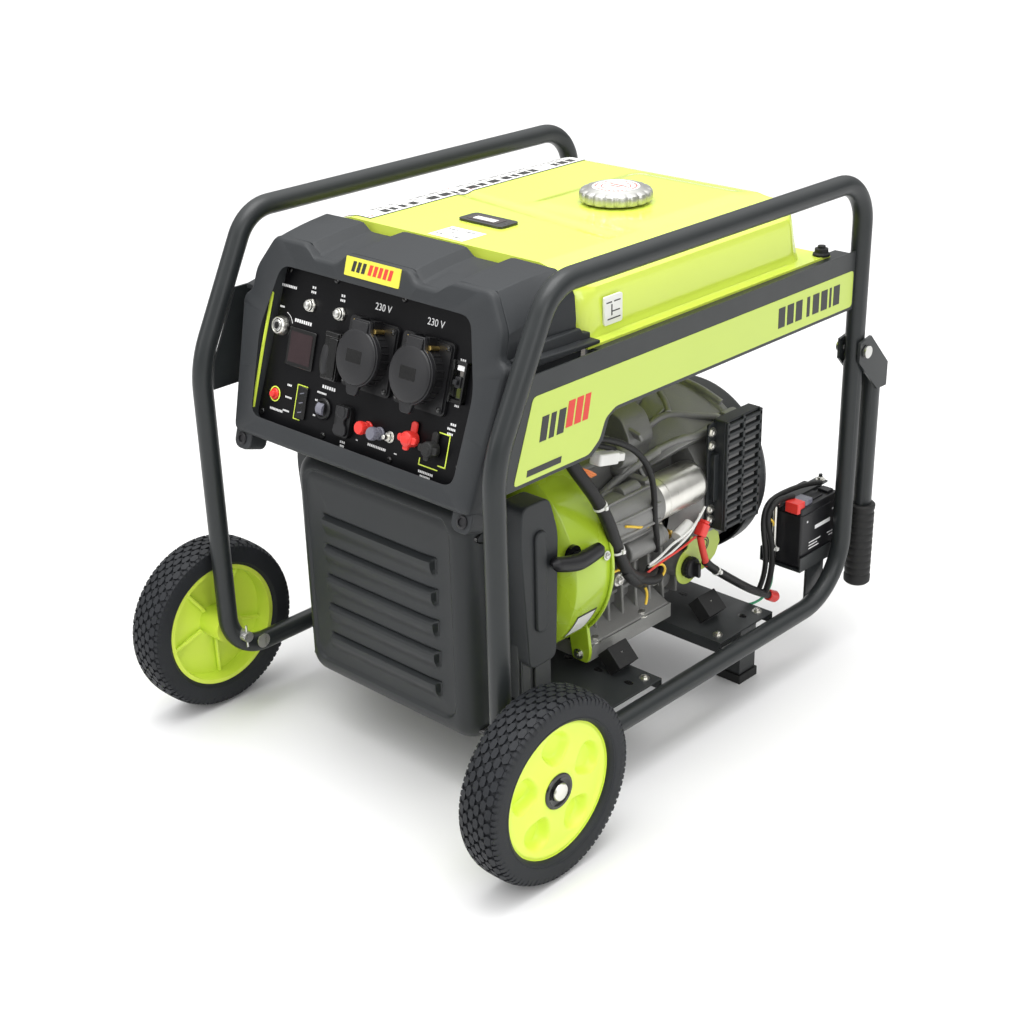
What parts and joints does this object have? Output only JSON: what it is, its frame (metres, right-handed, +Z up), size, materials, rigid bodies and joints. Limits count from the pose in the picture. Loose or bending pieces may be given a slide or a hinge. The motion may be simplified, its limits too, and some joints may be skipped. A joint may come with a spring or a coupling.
{
  "type": "inverter generator",
  "caption": "Open-frame inverter generator on two wheels, with a tubular frame, folding rear handles, leaning control panel, fuel tank, engine, alternator and battery.",
  "frame": {"origin": "on the floor, under the middle of the bounding box", "axes": "+Z up, +Y from the control panel towards the battery and handles, +X towards the side that shows the engine"},
  "size_m": [0.72, 0.9295, 0.743],
  "materials": {
    "frame_paint": "satin",
    "soft_rubber": "matte",
    "zinc_steel": "zinc plated",
    "tyre_rubber": "matte",
    "lime_plastic": "satin",
    "lime_paint": "gloss",
    "cap_metal": "cast",
    "gauge_black": "gloss",
    "fuel_fittings": "satin",
    "console_plastic": "textured",
    "panel_black": "satin",
    "signal_red": "gloss",
    "cast_aluminium": "as cast",
    "machined_steel": "satin",
    "muffler_steel": "heat stained",
    "satin_black": "satin",
    "cable_black": "satin"
  },
  "bodies": {
    "machine": {"alternator_housing": "cast_aluminium", "battery": "satin_black", "battery_mount": "frame_paint", "console_housing": "console_plastic", "control_panel": "panel_black", "crankcase": "cast_aluminium", "cylinder_block": "cast_aluminium", "fan_shroud": "lime_paint", "frame_fasteners": "zinc_steel", "frame_loop_left": "frame_paint", "frame_loop_right": "frame_paint", "front_base_plate": "frame_paint", "fuel_gauge": "gauge_black", "fuel_line": "fuel_fittings", "fuel_tank": "lime_paint", "intake": "satin_black", "inverter_module": "cast_aluminium", "lower_cover": "console_plastic", "muffler": "muffler_steel", "outlet_bodies": "console_plastic", "panel_displays": "gauge_black", "panel_hardware": "zinc_steel", "rear_base_plate": "frame_paint", "rear_cross_bar": "frame_paint", "rear_fan_cover": "console_plastic", "rectifier_box": "satin_black", "rubber_mounts": "soft_rubber", "side_rail_left": "frame_paint", "side_rail_right": "frame_paint", "starter_motor": "machined_steel", "wheel_axles": "zinc_steel", "wiring_looms": "cable_black"},
    "wheel_left": {"tyre_left": "tyre_rubber", "rim_left": "lime_plastic"},
    "wheel_right": {"tyre_right": "tyre_rubber", "rim_right": "lime_plastic"},
    "folding_handle_left": {"handle_arm_left": "frame_paint", "handle_grip_left": "soft_rubber"},
    "folding_handle_right": {"handle_arm_right": "frame_paint", "handle_grip_right": "soft_rubber"},
    "fuel_cap": {"fuel_cap": "cap_metal"},
    "fuel_tap_lever": {"fuel_tap_lever": "fuel_fittings"},
    "ignition_key": {"ignition_key": "zinc_steel"},
    "breaker_button_left": {"breaker_button_left": "panel_black"},
    "breaker_button_right": {"breaker_button_right": "panel_black"},
    "outlet_lid_left": {"outlet_lid_left": "console_plastic"},
    "outlet_lid_right": {"outlet_lid_right": "console_plastic"},
    "small_outlet_lid": {"small_outlet_lid": "console_plastic"},
    "reset_button": {"reset_button": "signal_red"},
    "eco_switch": {"eco_switch": "console_plastic"},
    "dc_outlet_cover": {"dc_outlet_cover": "console_plastic"},
    "terminal_red": {"terminal_red": "signal_red"},
    "terminal_black": {"terminal_black": "panel_black"},
    "parallel_cover_red": {"parallel_cover_red": "signal_red"},
    "parallel_cover_black": {"parallel_cover_black": "soft_rubber"},
    "main_breaker_lever": {"main_breaker_lever": "console_plastic"},
    "recoil_handle": {"recoil_handle": "console_plastic"},
    "crankshaft": {"crankshaft": "machined_steel"},
    "choke_lever": {"choke_lever": "zinc_steel"},
    "dipstick": {"dipstick": "console_plastic"}
  },
  "joints": [
    {"name": "wheel_left_spin", "type": "hinge", "parent": "machine", "child": "wheel_left", "pos_m": [-0.33, -0.338, 0.127], "axis": [1, 0, 0], "continuous": true},
    {"name": "wheel_right_spin", "type": "hinge", "parent": "machine", "child": "wheel_right", "pos_m": [0.33, -0.338, 0.127], "axis": [1, 0, 0], "continuous": true},
    {"name": "handle_left_fold", "type": "hinge", "parent": "machine", "child": "folding_handle_left", "pos_m": [-0.272, 0.3925, 0.483], "axis": [1, 0, 0], "range_deg": [0, 90]},
    {"name": "handle_right_fold", "type": "hinge", "parent": "machine", "child": "folding_handle_right", "pos_m": [0.272, 0.3925, 0.483], "axis": [1, 0, 0], "range_deg": [0, 90]},
    {"name": "fuel_cap_turn", "type": "hinge", "parent": "machine", "child": "fuel_cap", "pos_m": [0.065, 0.107, 0.722], "axis": [0, 0, 1], "range_deg": [0, 90]},
    {"name": "fuel_tap_turn", "type": "hinge", "parent": "machine", "child": "fuel_tap_lever", "pos_m": [-0.151, -0.04, 0.608], "axis": [0, 1, 0], "range_deg": [0, 90]},
    {"name": "key_turn", "type": "hinge", "parent": "machine", "child": "ignition_key", "pos_m": [-0.17, -0.29908, 0.60157], "axis": [0, -0.9563, 0.2924], "range_deg": [-80, 0]},
    {"name": "breaker_left_press", "type": "slide", "parent": "machine", "child": "breaker_button_left", "axis": [0, 0.9563, -0.2924], "range_m": [0, 0.003], "stiffness_N_per_m": 150},
    {"name": "breaker_right_press", "type": "slide", "parent": "machine", "child": "breaker_button_right", "axis": [0, 0.9563, -0.2924], "range_m": [0, 0.003], "stiffness_N_per_m": 150},
    {"name": "reset_press", "type": "slide", "parent": "machine", "child": "reset_button", "axis": [0, 0.9563, -0.2924], "range_m": [0, 0.003], "stiffness_N_per_m": 150},
    {"name": "outlet_lid_left_open", "type": "hinge", "parent": "machine", "child": "outlet_lid_left", "pos_m": [0.0035, -0.30356, 0.64164], "axis": [-1, 0, 0], "range_deg": [0, 110], "stiffness_Nm_per_rad": 0.03},
    {"name": "outlet_lid_right_open", "type": "hinge", "parent": "machine", "child": "outlet_lid_right", "pos_m": [0.1, -0.30356, 0.64164], "axis": [-1, 0, 0], "range_deg": [0, 110], "stiffness_Nm_per_rad": 0.03},
    {"name": "small_lid_open", "type": "hinge", "parent": "machine", "child": "small_outlet_lid", "pos_m": [-0.06, -0.29623, 0.6143], "axis": [-1, 0, 0], "range_deg": [0, 110], "stiffness_Nm_per_rad": 0.01},
    {"name": "dc_cover_open", "type": "hinge", "parent": "machine", "child": "dc_outlet_cover", "pos_m": [-0.025, -0.31909, 0.52927], "axis": [-1, 0, 0], "range_deg": [0, 110], "stiffness_Nm_per_rad": 0.01},
    {"name": "eco_rock", "type": "hinge", "parent": "machine", "child": "eco_switch", "pos_m": [-0.068, -0.31572, 0.51464], "axis": [1, 0, 0], "range_deg": [0, 24]},
    {"name": "terminal_red_turn", "type": "hinge", "parent": "machine", "child": "terminal_red", "pos_m": [0.018, -0.31546, 0.51038], "axis": [0, -0.9563, 0.2924], "range_deg": [0, 360]},
    {"name": "terminal_black_turn", "type": "hinge", "parent": "machine", "child": "terminal_black", "pos_m": [0.04, -0.31604, 0.50847], "axis": [0, -0.9563, 0.2924], "range_deg": [0, 360]},
    {"name": "parallel_red_open", "type": "hinge", "parent": "machine", "child": "parallel_cover_red", "pos_m": [0.1, -0.31072, 0.53612], "axis": [-1, 0, 0], "range_deg": [0, 80], "stiffness_Nm_per_rad": 0.01},
    {"name": "parallel_black_open", "type": "hinge", "parent": "machine", "child": "parallel_cover_black", "pos_m": [0.137, -0.31189, 0.53229], "axis": [-1, 0, 0], "range_deg": [0, 80], "stiffness_Nm_per_rad": 0.01},
    {"name": "main_breaker_throw", "type": "slide", "parent": "machine", "child": "main_breaker_lever", "axis": [0, -0.2924, -0.9563], "range_m": [0, 0.012]},
    {"name": "recoil_pull", "type": "slide", "parent": "machine", "child": "recoil_handle", "axis": [1, 0, 0], "range_m": [0, 0.6]},
    {"name": "crank_spin", "type": "hinge", "parent": "machine", "child": "crankshaft", "pos_m": [0.07, 0, 0.292], "axis": [0, 1, 0], "continuous": true},
    {"name": "choke_move", "type": "hinge", "parent": "machine", "child": "choke_lever", "pos_m": [-0.17, -0.088, 0.383], "axis": [1, 0, 0], "range_deg": [-45, 0]},
    {"name": "dipstick_unscrew", "type": "hinge", "parent": "machine", "child": "dipstick", "pos_m": [0.178, 0.136, 0.2], "axis": [1, 0, 0], "range_deg": [0, 360]}
  ]
}
